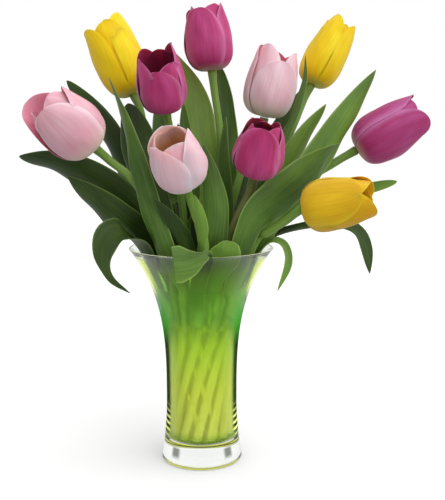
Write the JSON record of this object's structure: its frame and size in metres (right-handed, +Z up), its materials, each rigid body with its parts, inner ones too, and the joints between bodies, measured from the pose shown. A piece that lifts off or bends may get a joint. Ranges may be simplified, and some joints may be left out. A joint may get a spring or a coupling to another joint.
{
  "type": "tulips in a vase",
  "caption": "Cut tulips in three colours with their long leaves, standing in water in a clear glass vase that flares to a wide rim.",
  "frame": {"origin": "centre of the vase's flat underside, where it stands on the table", "axes": "+Z up the vase, +X to the right of someone who looks at the front of the bouquet, +Y away from them"},
  "size_m": [0.3668, 0.2047, 0.4275],
  "materials": {
    "vase_glass": "clear glass tinted lime green from inside, clear at the rim and in the thick foot",
    "water": "clear water with a flat still surface",
    "stem": "smooth waxy plant stem, satin",
    "leaf": "satin leaf with fine lengthwise veins and a paler edge",
    "yellow_petal": "silky petal, yellow with an ochre shade and a greenish foot",
    "magenta_petal": "silky petal, magenta with darker folds and a paler edge",
    "pink_petal": "silky petal, pale pink with a cream foot and a deeper pink inside",
    "pistil_stamens": "matt pale green pistil with darker anthers"
  },
  "bodies": {
    "root": {"vase": "vase_glass", "water": "water", "yellow_left_stem": "stem", "yellow_left_petals": "yellow_petal", "yellow_left_pistil_stamens": "pistil_stamens", "magenta_left_stem": "stem", "magenta_left_petals": "magenta_petal", "magenta_left_pistil_stamens": "pistil_stamens", "magenta_top_stem": "stem", "magenta_top_petals": "magenta_petal", "magenta_top_pistil_stamens": "pistil_stamens", "pink_top_stem": "stem", "pink_top_petals": "pink_petal", "pink_top_pistil_stamens": "pistil_stamens", "magenta_middle_stem": "stem", "magenta_middle_petals": "magenta_petal", "magenta_middle_pistil_stamens": "pistil_stamens", "yellow_right_stem": "stem", "yellow_right_petals": "yellow_petal", "yellow_right_pistil_stamens": "pistil_stamens", "magenta_right_stem": "stem", "magenta_right_petals": "magenta_petal", "magenta_right_pistil_stamens": "pistil_stamens", "pink_left_stem": "stem", "pink_left_petals": "pink_petal", "pink_left_pistil_stamens": "pistil_stamens", "pink_middle_stem": "stem", "pink_middle_petals": "pink_petal", "pink_middle_pistil_stamens": "pistil_stamens", "yellow_low_stem": "stem", "yellow_low_petals": "yellow_petal", "yellow_low_pistil_stamens": "pistil_stamens", "yellow_left_leaf_long": "leaf", "pink_left_leaf_low": "leaf", "pink_left_leaf_drooping": "leaf", "yellow_left_leaf_upper": "leaf", "yellow_left_leaf_dark": "leaf", "yellow_left_leaf_back": "leaf", "magenta_left_leaf_tall": "leaf", "magenta_left_leaf_narrow": "leaf", "magenta_top_leaf_broad": "leaf", "magenta_top_leaf_right": "leaf", "magenta_middle_leaf_narrow": "leaf", "pink_middle_leaf_centre": "leaf", "pink_middle_leaf_small": "leaf", "pink_middle_leaf_folded": "leaf", "pink_middle_leaf_clasping": "leaf", "magenta_middle_leaf_curled": "leaf", "pink_top_leaf_thin": "leaf", "yellow_right_leaf_dark": "leaf", "yellow_right_leaf_inner": "leaf", "yellow_right_leaf_behind": "leaf", "magenta_right_leaf_long": "leaf", "magenta_right_leaf_low": "leaf", "magenta_right_leaf_drooping": "leaf", "yellow_low_leaf_wide": "leaf", "yellow_low_leaf_trailing": "leaf", "yellow_left_leaf_behind": "leaf", "magenta_top_leaf_behind": "leaf", "pink_top_leaf_behind": "leaf"}
  },
  "joints": []
}
